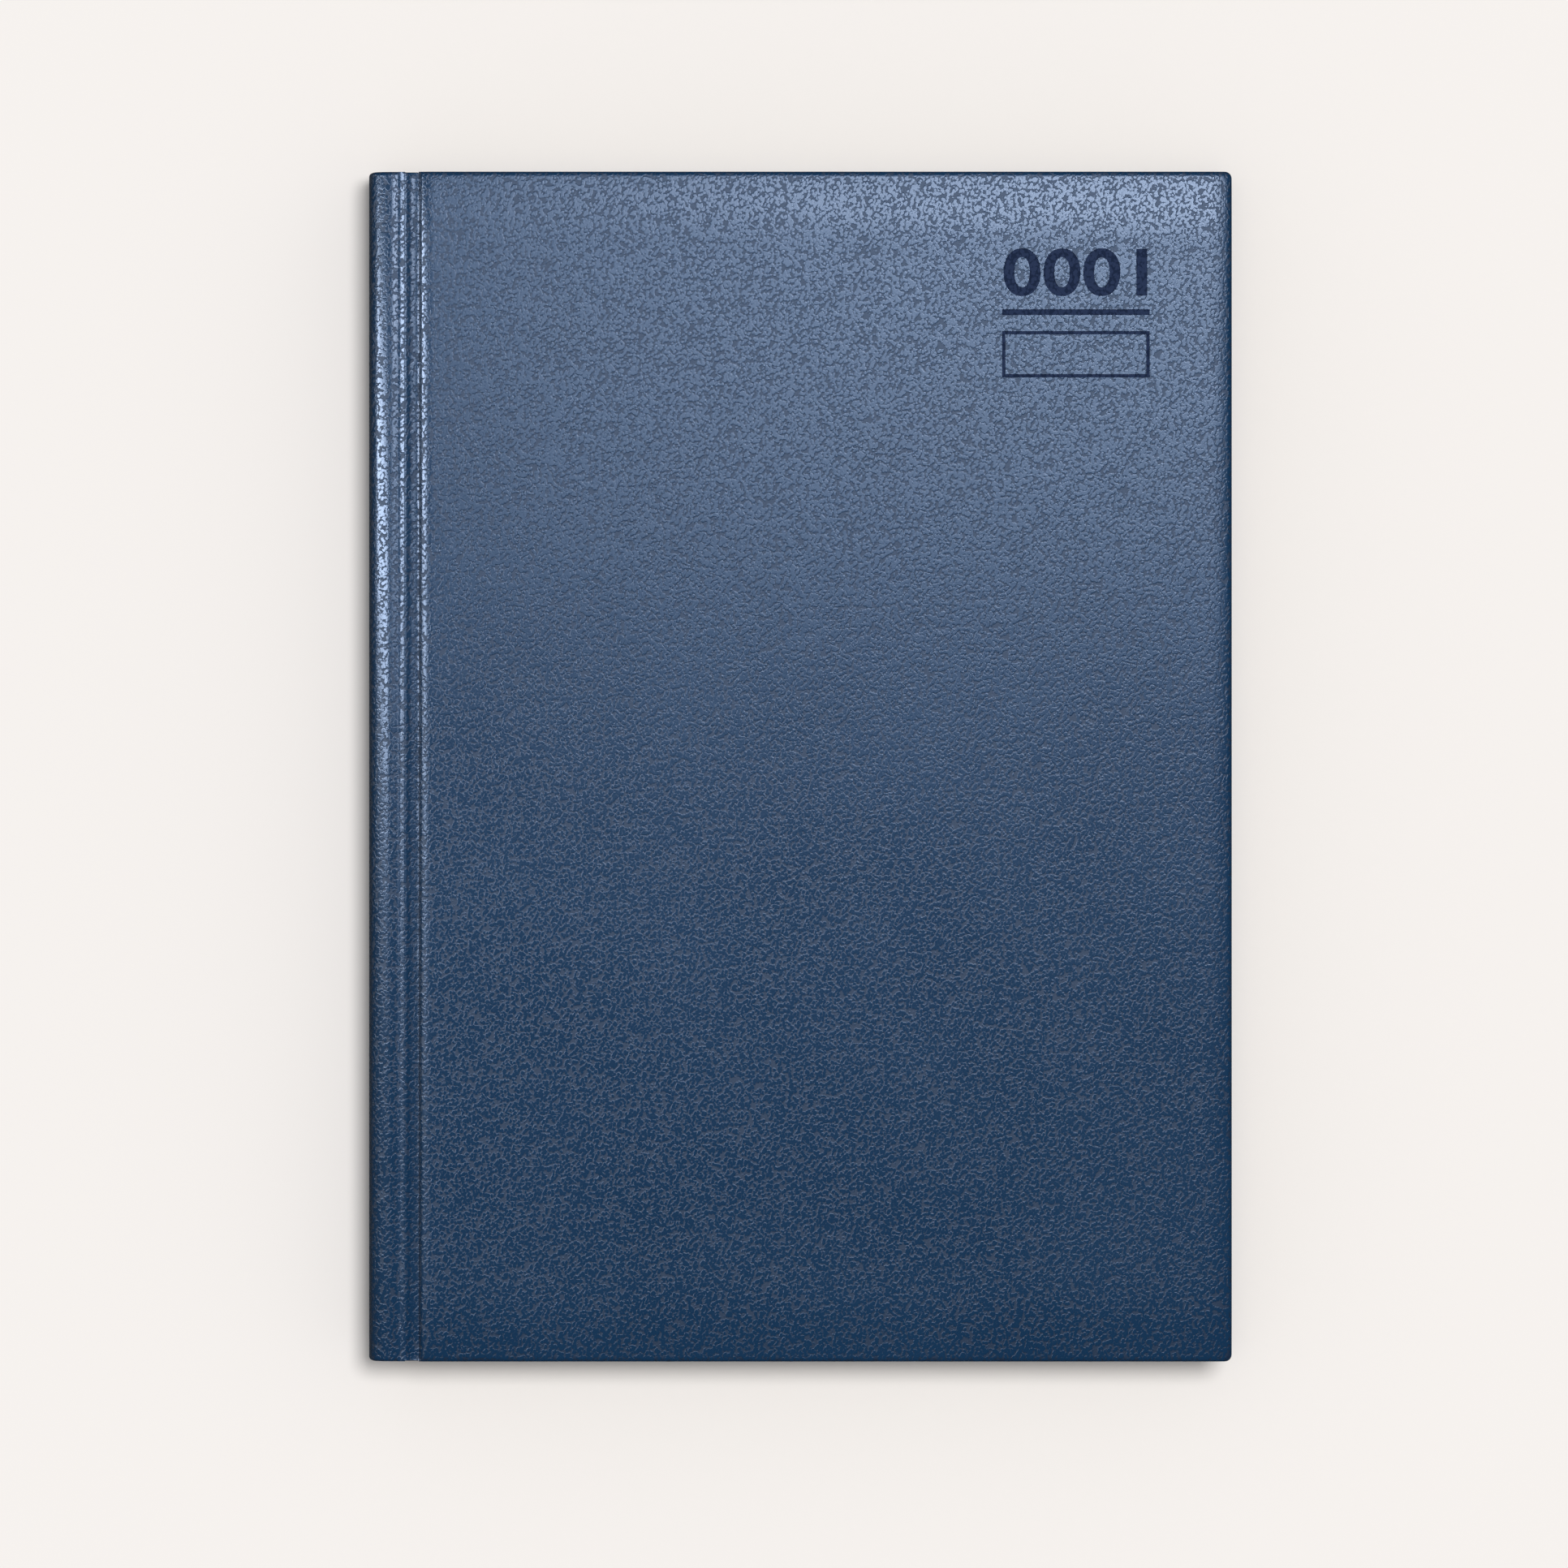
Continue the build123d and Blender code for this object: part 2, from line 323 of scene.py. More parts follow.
def speckled(name, dark, light, scale, bump, roughness=0.9):
    """Board, card, foam or dry glue: fine even speckle."""
    stuff = Finish(name, roughness, Specular_IOR_Level=0.25)
    place = stuff.object_coordinates()
    specks = stuff.noise(place, scale, 4.0, 0.7)
    stuff.feed("Base Color", stuff.mix(stuff.ramp(specks, (0.35, 0.0), (0.65, 1.0)), dark, light))
    stuff.bump(specks, bump, 0.7)
    return stuff.material


def open_cloth(name):
    """Coarse open weave."""
    cloth = Finish(name, 0.9, Specular_IOR_Level=0.2)
    across, along, up = cloth.split(cloth.object_coordinates())
    weave = 0.5 + 0.5 * cloth.wave(6283.0 * along) * cloth.wave(6283.0 * (across + up))
    cloth.feed("Base Color", cloth.mix(weave, (0.46, 0.42, 0.34, 1), (0.80, 0.77, 0.69, 1)))
    cloth.bump(weave, 0.0001, 0.6)
    return cloth.material


def striped_band(name):
    """Head band: blue and white cords side by side."""
    band = Finish(name, 0.7, Specular_IOR_Level=0.3)
    across, _, up = band.split(band.object_coordinates())
    slant = up + 0.25 * across
    stripe = (slant % 0.0024) < 0.0012
    cord = band.wave(10472.0 * slant)
    band.feed("Base Color", band.mix(stripe, (0.72, 0.71, 0.67, 1), (0.030, 0.062, 0.150, 1)))
    band.bump(0.5 + 0.5 * cord, 0.00012, 0.8)
    return band.material


def thread_fibre(name):
    """Waxed linen thread with its twist."""
    thread = Finish(name, 0.55, Specular_IOR_Level=0.4)
    _, along, up = thread.split(thread.object_coordinates())
    twist = 0.5 + 0.5 * thread.wave(9000.0 * (along + up))
    thread.feed("Base Color", thread.mix(twist, (0.60, 0.57, 0.49, 1), (0.86, 0.84, 0.78, 1)))
    thread.bump(twist, 0.00005, 0.7)
    return thread.material


def studio_floor(name):
    """Pale even floor that can't be seen from below."""
    floor = Finish(name, 0.95, Specular_IOR_Level=0.0)
    floor.shader.inputs["Base Color"].default_value = (0.825, 0.793, 0.768, 1)
    back = floor.node("ShaderNodeNewGeometry", out=6)
    clear = floor.node("ShaderNodeBsdfTransparent")
    solid = Value(floor, floor.shader.outputs[0])
    mixed = floor.node("ShaderNodeMixShader", {}, {0: back, 1: solid, 2: clear})
    output = floor.tree.nodes["Material Output"]
    floor.tree.links.new(mixed.socket, output.inputs["Surface"])
    return floor.material


# Modelling


def clear_selection():
    bpy.ops.object.select_all(action="DESELECT")


def make_active(piece):
    clear_selection()
    piece.select_set(True)
    bpy.context.view_layer.objects.active = piece


def apply_place(piece):
    make_active(piece)
    bpy.ops.object.transform_apply(location=True, rotation=True, scale=True)


def block_between(name, low, high):
    """A box between two corners, its place in its mesh."""
    clear_selection()
    low, high = Vector(low), Vector(high)
    bpy.ops.mesh.primitive_cube_add(size=1, location=(low + high) / 2, scale=high - low)
    piece = bpy.context.object
    piece.name = name
    piece.data.name = name
    apply_place(piece)
    return piece


class Bench:
    """Edit mode on one piece, with parts picked by their place."""

    def __init__(self, piece, kind="FACE"):
        self.piece = piece
        self.kind = kind

    def __enter__(self):
        make_active(self.piece)
        bpy.ops.object.mode_set(mode="EDIT")
        bpy.ops.mesh.select_mode(type=self.kind)
        bpy.ops.mesh.select_all(action="DESELECT")
        return self

    def __exit__(self, *_):
        bpy.ops.object.mode_set(mode="OBJECT")

    def use(self, kind):
        self.kind = kind
        bpy.ops.mesh.select_mode(type=kind)

    def pick(self, test):
        bpy.ops.mesh.select_all(action="DESELECT")
        mesh = bmesh.from_edit_mesh(self.piece.data)
        mesh.normal_update()
        parts = {"VERT": mesh.verts, "EDGE": mesh.edges, "FACE": mesh.faces}[self.kind]
        chosen = [part for part in parts if test(part)]
        for part in chosen:
            part.select_set(True)
        mesh.select_flush_mode()
        bmesh.update_edit_mesh(self.piece.data)
        return len(chosen)

    def move(self, x=0.0, y=0.0, z=0.0):
        bpy.ops.transform.translate(value=(x, y, z))

    def cut(self, axis, place):
        """A straight cut all round the piece, across one axis."""
        bpy.ops.mesh.select_all(action="SELECT")
        normal = [0, 0, 0]
        normal[axis] = 1
        point = [0, 0, 0]
        point[axis] = place
        bpy.ops.mesh.bisect(plane_co=point, plane_no=normal)

    def delete(self, test):
        self.use("FACE")
        if self.pick(test):
            bpy.ops.mesh.delete(type="FACE")


def middle_of(part):
    """Middle of an edge or a face."""
    points = [corner.co for corner in part.verts]
    return sum(points, Vector()) / len(points)


def between_faces(edge, first, second):
    """Whether an edge's two faces pass one test each."""
    if len(edge.link_faces) != 2:
        return False
    a, b = (face.normal for face in edge.link_faces)
    return (first(a) and second(b)) or (first(b) and second(a))


def add_modifier(piece, kind, **settings):
    make_active(piece)
    modifier = piece.modifiers.new(kind.lower(), kind)
    for setting, choice in settings.items():
        setattr(modifier, setting, choice)
    bpy.ops.object.modifier_apply(modifier=modifier.name)


def smooth(piece, degrees=40):
    make_active(piece)
    bpy.ops.object.shade_smooth_by_angle(angle=math.radians(degrees))


def extents(points):
    """Lowest and highest corner of the box round some points."""
    return [Vector([end(point[i] for point in points) for i in range(3)]) for end in (min, max)]


def pattern_layer(mesh):
    return mesh.uv_layers.get("cloth") or mesh.uv_layers.new(name="cloth")


def unfold(piece, round_radius=0.0):
    """Flat pattern of a wrapped piece: its top and sides laid out as the sheet it was cut from."""
    mesh = piece.data
    layer = pattern_layer(mesh)
    low, high = extents([vertex.co for vertex in mesh.vertices])
    fold = round_radius * (1 - 0.5**0.5)
    for face in mesh.polygons:
        x, y, z = (abs(part) for part in face.normal)
        for loop in face.loop_indices:
            point = mesh.vertices[mesh.loops[loop].vertex_index].co
            u, v = point.x, point.y
            drop = high.z - fold - point.z
            if x > z and x > y:
                side = 1 if face.normal.x > 0 else -1
                u = (high.x if side > 0 else low.x) - side * fold + side * drop
            elif y > z:
                side = 1 if face.normal.y > 0 else -1
                v = (high.y if side > 0 else low.y) + side * (high.z - point.z)
            layer.data[loop].uv = ((u + 0.2) / UV_UNIT, (v + 0.2) / UV_UNIT)


def roll_drop(distance, width, drop):
    """How far a padded surface has sunk at a distance in from its edge."""
    if distance >= width:
        return 0.0
    return drop * (1 - max(distance, 0.0) / width) ** 2


def shape_pad(piece, low, high):
    """Crowned top: sinks towards head and tail over a wide band, less at the sides."""
    for vertex in piece.data.vertices:
        point = vertex.co
        if point.z < high.z - 1e-6:
            continue
        sunk = roll_drop(high.y - abs(point.y), *HEAD_ROLL)
        sunk += roll_drop(high.x - point.x, *FORE_ROLL)
        sunk += roll_drop(point.x - low.x, *GROOVE_ROLL)
        point.z -= sunk


def padded_form(name, low, high, corner):
    """Box with rounded fore-edge corners and a crowned, rolled top."""
    pad = block_between(name, low, high)

    def fore_corner(edge):
        upright = abs(edge.verts[0].co.z - edge.verts[1].co.z) > MM
        return upright and middle_of(edge).x > high.x - MM

    with Bench(pad, "EDGE") as bench:
        bench.pick(fore_corner)
        bpy.ops.mesh.bevel(offset=corner, segments=5, affect="EDGES")
        for inward in (1.1, 1.8, 2.6, 3.6, 4.7, 5.9, 9.0):
            bench.cut(0, high.x - inward * MM)
        for inward in (0.9, 1.4, 2.0, 2.8):
            bench.cut(0, low.x + inward * MM)
        for inward in (1.2, 2.2, 3.4, 4.8, 6.4, 8.2, 10.2, 12.4, 14.0):
            for side in (-1, 1):
                bench.cut(1, side * (high.y - inward * MM))
        for place in range(-80, 81, 40):
            bench.cut(1, place * MM)
    shape_pad(pad, low, high)
    return pad


def cover_cloth(name):
    """Cloth of one cover: over the pad, turned in at three edges and down into the groove."""
    low = Vector((COVER_LOW.x + 0.05 * MM, COVER_LOW.y, COVER_LOW.z))
    high = COVER_HIGH
    cloth = padded_form(name, low, high, 1.4 * MM)
    inside = high.x - TURN_IN

    def lower_rim(edge):
        return between_faces(edge, lambda n: n.z < -0.9, lambda n: abs(n.z) < 0.3 and n.x > -0.9)

    def open_underside(face):
        middle = middle_of(face)
        bare = abs(middle.y) < high.y - TURN_IN or middle.x < low.x + 0.9 * MM
        return face.normal.z < -0.9 and middle.x < inside and bare

    with Bench(cloth, "EDGE") as bench:
        bench.cut(0, inside)
        bench.cut(1, high.y - TURN_IN)
        bench.cut(1, TURN_IN - high.y)
        bench.pick(lambda e: between_faces(e, lambda n: n.z > 0.7, lambda n: abs(n.z) < 0.3))
        bpy.ops.mesh.bevel(offset=0.85 * MM, segments=4, affect="EDGES")
        bench.pick(lower_rim)
        bpy.ops.mesh.bevel(offset=0.45 * MM, segments=3, affect="EDGES")
        bench.delete(open_underside)
        bench.use("VERT")
        bench.pick(lambda v: v.co.x < low.x + 0.01 * MM and v.co.z < low.z + 0.5 * MM)
        bench.move(x=-0.35 * MM, z=1.15 * MM)
        bench.use("EDGE")
        bench.pick(lambda e: e.is_boundary and middle_of(e).x < low.x - 0.3 * MM)
        for along, up in GROOVE_STEPS:
            move = {"value": (along * MM, 0, up * MM)}
            bpy.ops.mesh.extrude_edges_move(TRANSFORM_OT_translate=move)
    add_modifier(cloth, "SOLIDIFY", thickness=0.5 * MM, offset=-1, use_even_offset=False)
    return cloth


def press(cloth, cutter):
    """Presses a cutter's shape into a cover's cloth."""
    settings = {"operation": "DIFFERENCE", "solver": "EXACT", "material_mode": "TRANSFER"}
    add_modifier(cloth, "BOOLEAN", object=cutter, **settings)
    bpy.data.objects.remove(cutter)


def stamp_numerals(low, high, pressed):
    """Bold plain numerals between two corners."""
    clear_selection()
    bpy.ops.object.text_add()
    text = bpy.context.object
    text.data.body = "0001"
    text.data.extrude = 0.5
    text.data.offset = 0.022
    text.data.space_character = 1.04
    bpy.ops.object.convert(target="MESH")
    bpy.context.view_layer.update()
    start, end = extents([Vector(corner) for corner in text.bound_box])
    span = end - start
    text.scale = [(high[i] - low[i]) / span[i] for i in range(3)]
    text.location = [low[i] - start[i] * text.scale[i] for i in range(3)]
    apply_place(text)
    text.data.materials.clear()
    text.data.materials.append(pressed)
    return text


def stamp_frame(low, high, line, pressed):
    """Outline frame between two corners."""
    bars = block_between("stamp_frame", low, high)
    with Bench(bars, "FACE") as bench:
        bench.pick(lambda f: abs(f.normal.z) > 0.9)
        bpy.ops.mesh.inset(thickness=line)
        bpy.ops.mesh.bridge_edge_loops()
    bars.data.materials.append(pressed)
    return bars


def stamp_cover(cloth, pressed):
    """Numerals, rule and blank name frame at the cover's upper fore corner."""
    floor = COVER_HIGH.z - 0.2 * MM
    roof = COVER_HIGH.z + 1 * MM
    right = COVER_HIGH.x - 17.0 * MM
    left = right - 30.5 * MM
    top = COVER_HIGH.y
    line = 0.7 * MM
    rule_low = Vector((left, top - 29.7 * MM, floor))
    rule_high = Vector((right, top - 28.5 * MM, roof))
    rule = block_between("stamp_rule", rule_low, rule_high)
    rule.data.materials.append(pressed)
    frame_low = Vector((left, top - 42.6 * MM, floor))
    frame_high = Vector((right, top - 33.0 * MM, roof))
    name_frame = stamp_frame(frame_low, frame_high, line, pressed)
    numerals_low = (left + 0.3 * MM, top - 25.8 * MM, floor)
    numerals_high = (right - 0.5 * MM, top - 15.9 * MM, roof)
    numerals = stamp_numerals(numerals_low, numerals_high, pressed)
    for cutter in (rule, name_frame, numerals):
        press(cloth, cutter)


def copied(piece):
    copy = piece.copy()
    copy.data = piece.data.copy()
    bpy.context.scene.collection.objects.link(copy)
    return copy


def turned_over(piece, name):
    """The back cover's copy of a front piece."""
    clear_selection()
    copy = copied(piece)
    copy.name = name
    for vertex in copy.data.vertices:
        vertex.co.z = 2 * MIDDLE_Z - vertex.co.z
    with Bench(copy, "FACE"):
        bpy.ops.mesh.select_all(action="SELECT")
        bpy.ops.mesh.flip_normals()
    return copy


def spine_cloth(name):
    """Cloth over the rounded spine, with a thin ridge beside each groove and capped ends."""
    high_z = SPINE_HIGH.z - 0.12 * MM
    low_z = 2 * MIDDLE_Z - high_z
    ridge = SPINE_X + 7.42 * MM
    low = Vector((SPINE_X + 0.5 * MM, SPINE_LOW.y, low_z))
    cloth = block_between(name, low, Vector((ridge, SPINE_HIGH.y, high_z)))

    def back_corner(edge):
        lengthwise = abs(edge.verts[0].co.y - edge.verts[1].co.y) > MM
        return lengthwise and middle_of(edge).x < SPINE_X + MM

    with Bench(cloth, "EDGE") as bench:
        bench.pick(back_corner)
        bpy.ops.mesh.bevel(offset=SPINE_ROUND, segments=9, affect="EDGES")
        for place in (5.4, 6.0, 6.5, 6.9):
            bench.cut(0, SPINE_X + place * MM)
        for place in (-3.2, -1.6, 0, 1.6, 3.2):
            bench.cut(2, MIDDLE_Z + place * MM)
        bench.use("FACE")
        bench.pick(lambda f: abs(f.normal.y) > 0.9)
        bpy.ops.mesh.dissolve_limited(angle_limit=math.radians(2), delimit=set())
        bench.pick(lambda f: abs(f.normal.y) > 0.9)
        bpy.ops.mesh.inset(thickness=1.15 * MM)
        bpy.ops.mesh.delete(type="FACE")
        bench.delete(lambda f: f.normal.x > 0.9)
        bench.delete(lambda f: abs(f.normal.y) > 0.9 and middle_of(f).x > ridge - 1.3 * MM)
        bench.use("EDGE")
        bench.pick(lambda e: between_faces(e, lambda n: abs(n.y) > 0.9, lambda n: abs(n.y) < 0.3))
        bpy.ops.mesh.bevel(offset=0.75 * MM, segments=4, affect="EDGES")
    half = high_z - SPINE_ROUND - MIDDLE_Z
    crown, dip, lip = 0.5 * MM, 0.22, 0.14
    for vertex in cloth.data.vertices:
        point = vertex.co
        beside = abs(point.z - MIDDLE_Z)
        if beside < half:
            point.x -= crown * (1 - (beside / half) ** 2) * (point.x < SPINE_X + 1.6 * MM)
        rise = point.x - (SPINE_X + 5.3 * MM)
        if rise > 0 and beside > half:
            lift = -dip * math.sin(min(rise / (2.1 * MM), 1) * math.pi) + lip * (rise > 2.0 * MM)
            point.z += lift * math.copysign(MM, point.z - MIDDLE_Z)
    add_modifier(cloth, "SOLIDIFY", thickness=0.45 * MM, offset=-1)
    return cloth


def sheet_between(name, low, high, cuts=()):
    """One flat leaf, cut across at the given places."""
    leaf = block_between(name, low, high)
    if cuts:
        with Bench(leaf, "EDGE") as bench:
            for place in cuts:
                bench.cut(0, place)
    return leaf


def stack(name, leaves):
    """Joins loose leaves into one piece."""
    clear_selection()
    for leaf in leaves:
        leaf.select_set(True)
    bpy.context.view_layer.objects.active = leaves[0]
    bpy.ops.object.join()
    piece = bpy.context.object
    piece.name = name
    piece.data.name = name
    return piece


def leaf_copies(first, count, pitch, chance, fold_at=None):
    """Copies of a leaf, one above another, each trimmed a hair differently."""
    leaves = [first]
    for number in range(1, count):
        copy = copied(first)
        for vertex in copy.data.vertices:
            vertex.co.z += number * pitch
        leaves.append(copy)
    for leaf in leaves:
        fore = chance.uniform(-0.16, 0.0) * MM
        side = chance.uniform(-0.07, 0.07) * MM
        far = max(vertex.co.x for vertex in leaf.data.vertices)
        near = min(vertex.co.x for vertex in leaf.data.vertices)
        for vertex in leaf.data.vertices:
            if vertex.co.x > far - 1e-6:
                vertex.co.x += fore
            if fold_at and vertex.co.x < near + 1e-6:
                vertex.co.x = fold_at(vertex.co.z)
            vertex.co.y += side
    return leaves


def fold_place(z):
    """Where the folds lie along the block's rounded back."""
    half = SPINE_HIGH.z - MIDDLE_Z - 4.6 * MM
    beside = abs(z - MIDDLE_Z)
    x = SPINE_X + 2.15 * MM + 0.5 * MM * min(beside / half, 1) ** 2
    if beside > half:
        depth = min((beside - half) / (2.5 * MM), 1)
        x += 2.5 * MM * (1 - math.sqrt(max(1 - depth**2, 0)))
    return x


def dress(piece, *materials):
    piece.data.materials.clear()
    for material in materials:
        piece.data.materials.append(material)


def dress_leaves(piece, page, edge):
    """Pages on the flat faces and cut edges on the rest."""
    dress(piece, page, edge)
    for face in piece.data.polygons:
        face.material_index = 0 if abs(face.normal.z) > 0.9 else 1


def print_layout(piece):
    """Flat pattern of leaves, measured from the gutter and the tail of the page."""
    mesh = piece.data
    layer = pattern_layer(mesh)
    origin = Vector((SPINE_X + 2 * MM, FLYLEAF_LOW.y, 0))
    for loop in mesh.loops:
        point = mesh.vertices[loop.vertex_index].co - origin
        layer.data[loop.index].uv = (point.x / UV_UNIT, point.y / UV_UNIT)


def bend_cuts(start, end, count):
    return [start + (end - start) * (number + 0.5) / count for number in range(count)]


def gutter_cuts():
    """Cuts across a leaf where it turns out of the gutter."""
    return bend_cuts(HINGE_X - 0.5 * MM, FREE_LEAF_X + 1 * MM, 26)


def add_sections(page, edge, chance):
    """The sewn sections below the turning leaves."""
    names = sorted(n for n in frame["nodes"] if n.startswith("section_") and n != "section_1")
    for name in names:
        low, high = corners(name)
        leaf_low = Vector((SPINE_X + 2.6 * MM, low.y, low.z))
        pitch = (high.z - low.z) / LEAVES_PER_SECTION
        leaf_high = (high.x, high.y, low.z + PAPER_SHARE * pitch)
        first = sheet_between(name + "_leaf", leaf_low, leaf_high)
        leaves = leaf_copies(first, LEAVES_PER_SECTION, pitch, chance, fold_place)
        piece = stack(name + "_leaves", leaves)
        print_layout(piece)
        dress_leaves(piece, page, edge)
        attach(piece, "text_block")
        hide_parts(name)


def add_turning_leaves(page, edge, chance):
    """Leaves of the first section, cut across where they turn out of the gutter."""
    groups = sorted(n for n in frame["nodes"] if n.startswith("leaf_group_"))
    for name in groups:
        low, high = corners(name)
        number = name.rsplit("_", 1)[1]
        pitch = (high.z - low.z) / LEAVES_PER_GROUP
        leaf_low = Vector((SPINE_X + 3 * MM, low.y, low.z))
        leaf_high = (high.x, high.y, low.z + PAPER_SHARE * pitch)
        first = sheet_between(name + "_leaf", leaf_low, leaf_high, gutter_cuts())
        leaves = leaf_copies(first, LEAVES_PER_GROUP, pitch, chance, fold_place)
        piece = stack(f"turning_leaves_{number}_paper", leaves)
        print_layout(piece)
        dress_leaves(piece, page, edge)
        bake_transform(piece)
        stands_for = [name, "section_1"] if number == "1" else [name]
        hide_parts(*stands_for)


def add_endpapers(plain, edge):
    """Each endpaper: a flyleaf cut across where it turns out of the gutter, and a pastedown on the
    cover.
    """
    for side in ("front", "back"):
        low, high = corners(side + "_flyleaf")
        outer = 1 if side == "front" else -1
        leaf_low = Vector((SPINE_X + 4.4 * MM, low.y, low.z + 0.03 * MM))
        leaf_high = Vector((high.x, high.y, high.z - 0.03 * MM))
        flyleaf = sheet_between(side + "_flyleaf_paper", leaf_low, leaf_high, gutter_cuts())
        print_layout(flyleaf)
        dress_leaves(flyleaf, plain, edge)
        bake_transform(flyleaf)
        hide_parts(side + "_flyleaf", side + "_flyleaf_gutter")

        low, high = corners(side + "_pastedown")
        near_z = low.z if outer > 0 else high.z
        thick = 0.18 * MM * outer
        bend_start, bend_end = HINGE_X - 0.6 * MM, COVER_LOW.x + 1.2 * MM
        cuts = bend_cuts(bend_start, bend_end, 14)
        under, over = sorted((near_z, near_z + thick))
        sheet_low = Vector((HINGE_X - 1.4 * MM, low.y, under))
        sheet_high = Vector((high.x, high.y, over))
        pastedown = sheet_between(side + "_pastedown_paper", sheet_low, sheet_high, cuts)
        print_layout(pastedown)
        dress_leaves(pastedown, plain, edge)
        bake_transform(pastedown)
        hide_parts(side + "_pastedown")


def add_covers(leather, pressed, foam_finish):
    """Cloth and foam of both covers."""
    front = cover_cloth("front_cover_cloth")
    back = turned_over(front, "back_cover_cloth")
    front.data.materials.append(leather)
    stamp_cover(front, pressed)
    back.data.materials.append(leather)
    for side, cloth in (("front", front), ("back", back)):
        smooth(cloth, 42)
        unfold(cloth)
        z = COVER_LOW.z if side == "front" else 2 * MIDDLE_Z - COVER_LOW.z
        side + "_cover"
        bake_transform(cloth)
        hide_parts(side + "_skin")

    low, high = corners("front_foam")
    foam_low = Vector((low.x + 0.9 * MM, low.y + 0.1 * MM, low.z))
    foam_high = Vector((high.x - 0.1 * MM, high.y - 0.1 * MM, high.z - 0.05 * MM))
    front_foam = padded_form("front_foam_pad", foam_low, foam_high, 1.0 * MM)
    back_foam = turned_over(front_foam, "back_foam_pad")
    for side, pad in (("front", front_foam), ("back", back_foam)):
        smooth(pad)
        dress(pad, foam_finish)
        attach(pad, side + "_cover")
        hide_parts(side + "_foam")


def add_spine(leather):
    """Cloth over the spine."""
    cloth = spine_cloth("spine_cloth")
    smooth(cloth, 50)
    unfold(cloth, round_radius=SPINE_ROUND)
    dress(cloth, leather)
    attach(cloth, "text_block")
    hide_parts("spine_skin")


def dress_hidden_nodes():
    """Finishes of the pieces inside the case."""
    greyboard = speckled("greyboard", (0.20, 0.19, 0.17, 1), (0.36, 0.34, 0.31, 1), 900, 0.00005)
    card = speckled("spine_card", (0.34, 0.28, 0.20, 1), (0.48, 0.41, 0.31, 1), 1100, 0.00003)
    kraft = speckled("kraft_paper", (0.30, 0.20, 0.11, 1), (0.46, 0.33, 0.20, 1), 700, 0.00002)
    glue = speckled("dry_glue", (0.62, 0.58, 0.47, 1), (0.80, 0.77, 0.67, 1), 260, 0.00004, 0.4)
    finishes = {
        "front_board": greyboard,
        "back_board": greyboard,
        "spine_strip": card,
        "spine_lining": kraft,
        "spine_adhesive": glue,
        "mull": open_cloth("open_weave_mull"),
        "sewing_thread": thread_fibre("linen_thread"),
    }
    band = striped_band("striped_band")
    finishes["head_band"] = band
    finishes["tail_band"] = band
    for node, material in finishes.items():
        dress(frame["nodes"][node], material)


# Stage


def add_floor():
    clear_selection()
    bpy.ops.mesh.primitive_plane_add(size=6, location=(0, 0, cad_box[0][2]))
    floor = bpy.context.object
    floor.name = "studio_floor"
    apply_place(floor)
    dress(floor, studio_floor("pale_floor"))
    floor.visible_glossy = False


def put_in_scene(name, data):
    made = bpy.data.objects.new(name, data)
    bpy.context.scene.collection.objects.link(made)
    return made


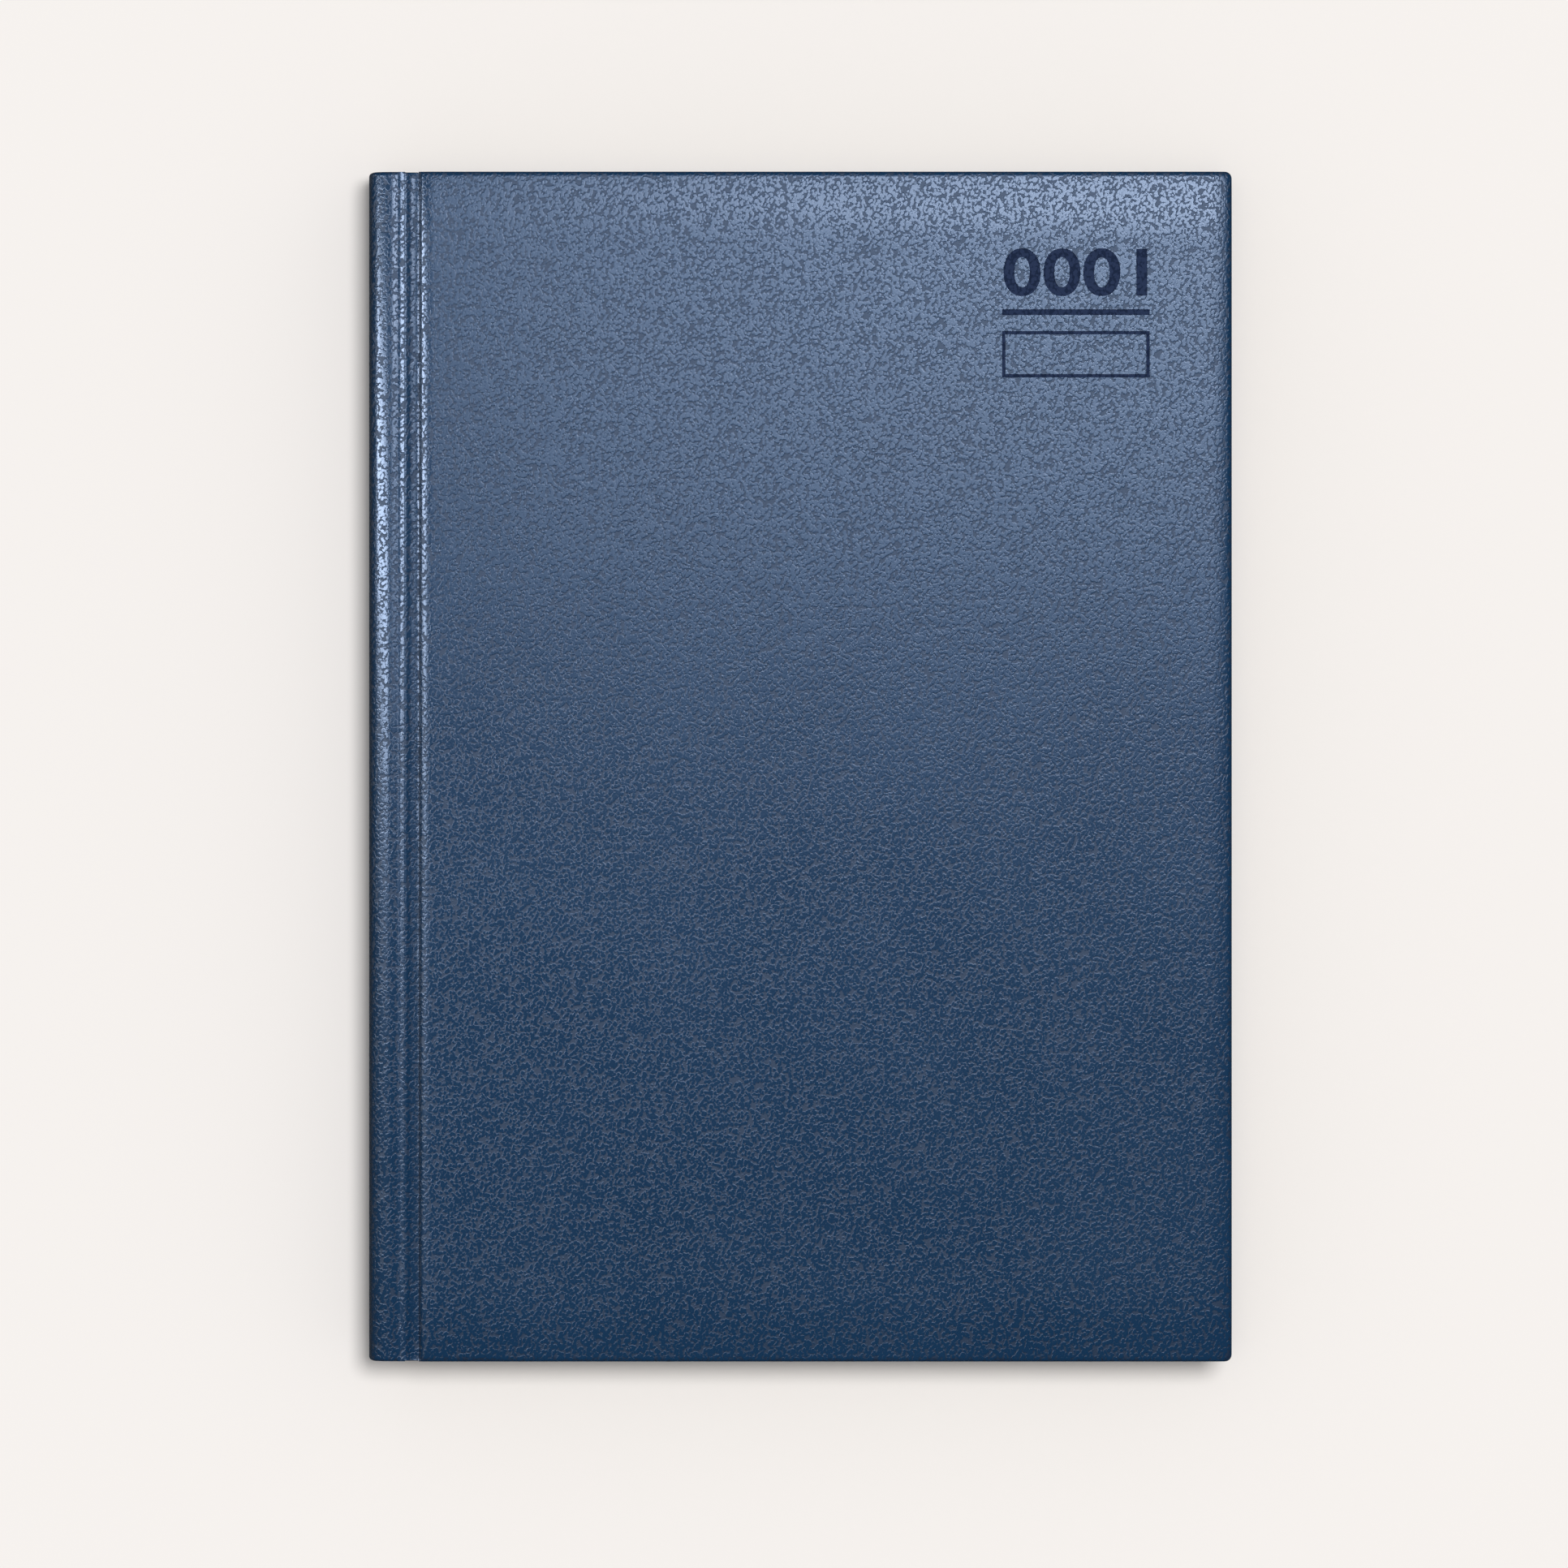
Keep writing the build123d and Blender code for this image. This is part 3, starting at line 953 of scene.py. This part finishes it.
def add_lights():
    """Even light all round, a broad key from the upper right, and gloss for the leathercloth."""
    world = bpy.data.worlds.new("studio")
    bpy.context.scene.world = world
    world.use_nodes = True
    surround = world.node_tree.nodes["Background"]
    surround.inputs["Color"].default_value = (1.0, 1.0, 1.0, 1)
    surround.inputs["Strength"].default_value = 0.42
    dim = world.node_tree.nodes.new("ShaderNodeBackground")
    dim.inputs["Color"].default_value = (0.80, 0.90, 1.0, 1)
    dim.inputs["Strength"].default_value = 0.04
    ray = world.node_tree.nodes.new("ShaderNodeLightPath")
    either = world.node_tree.nodes.new("ShaderNodeMixShader")
    links = world.node_tree.links
    links.new(ray.outputs["Is Glossy Ray"], either.inputs[0])
    links.new(surround.outputs[0], either.inputs[1])
    links.new(dim.outputs[0], either.inputs[2])
    links.new(either.outputs[0], world.node_tree.nodes["World Output"].inputs["Surface"])

    key = bpy.data.lights.new("key", "SUN")
    key.energy = 2.25
    key.angle = math.radians(15)
    lamp = put_in_scene("key", key)
    lamp.rotation_euler = Vector((0.140, 0.115, 1)).to_track_quat("Z", "Y").to_euler()
    lamp.visible_glossy = False

    lit = bpy.data.collections.new("lit_by_strips")
    bpy.context.scene.collection.children.link(lit)
    for name in ("front_cover_cloth", "back_cover_cloth", "spine_cloth"):
        lit.objects.link(bpy.data.objects[name])
    cool, paler = (0.62, 0.76, 1.0), (0.66, 0.78, 1.0)
    soft_boxes = (
        ("head_box", (0.085, 0.195, 0.48), (0.085, 0.195, 0.0), (0.40, 0.31), 2.1, cool),
        ("head_strip", (0.14, 0.225, 0.48), (0.14, 0.225, 0.0), (0.28, 0.05), 3.0, paler),
        ("spine_strip", (-0.52, 0.10, 0.33), (-0.05, 0.0, 0.02), (0.10, 0.70), 7.5, cool),
    )
    for name, place, aim, size, energy, colour in soft_boxes:
        add_soft_box(name, Vector(place), Vector(aim), size, energy, colour, lit)


def add_soft_box(name, place, aim, size, energy, colour, lit):
    """A soft box or strip seen only as gloss, and only on the leathercloth."""
    panel = bpy.data.lights.new(name, "AREA")
    panel.shape = "RECTANGLE"
    panel.size, panel.size_y = size
    panel.energy = energy
    panel.color = colour
    glow = put_in_scene(name, panel)
    glow.location = place
    glow.rotation_euler = (place - aim).to_track_quat("Z", "Y").to_euler()
    glow.visible_diffuse = False
    glow.light_linking.receiver_collection = lit


def add_camera():
    """Long lens straight above the front cover."""
    camera = bpy.data.cameras.new("camera")
    camera.lens = 400
    camera.sensor_width = 36
    camera.clip_end = 20
    eye = put_in_scene("camera", camera)
    middle = (Vector(cad_box[0]) + Vector(cad_box[1])) / 2
    eye.location = (middle.x - 3.27 * MM, middle.y - 3.6 * MM, cad_box[1][2] + 3.6)
    bpy.context.scene.camera = eye
    bpy.context.scene.view_settings.view_transform = "Standard"


chance = random.Random(7)
add_camera()
leather = leathercloth("navy_leathercloth", LEATHER_SHADE_AND_DARK_CLOUD, LEATHER_LIGHT, 0.24, 0.5)
pressed = leathercloth("pressed_leathercloth", PRESSED_SHADE_AND_DARK_CLOUD, PRESSED_LIGHT, 0.5, 0.02)
endpaper = paper("endpaper", (0.72, 0.70, 0.64, 1), (0.64, 0.615, 0.55, 1))
page = ruled_paper("ruled_page")
edge = page_edges("page_edges")
foam = speckled("open_cell_foam", (0.62, 0.60, 0.54, 1), (0.84, 0.83, 0.78, 1), 2400, 0.0002)
add_covers(leather, pressed, foam)
add_spine(leather)
add_sections(page, edge, chance)
add_turning_leaves(page, edge, chance)
add_endpapers(endpaper, edge)
dress_hidden_nodes()
add_floor()
add_lights()
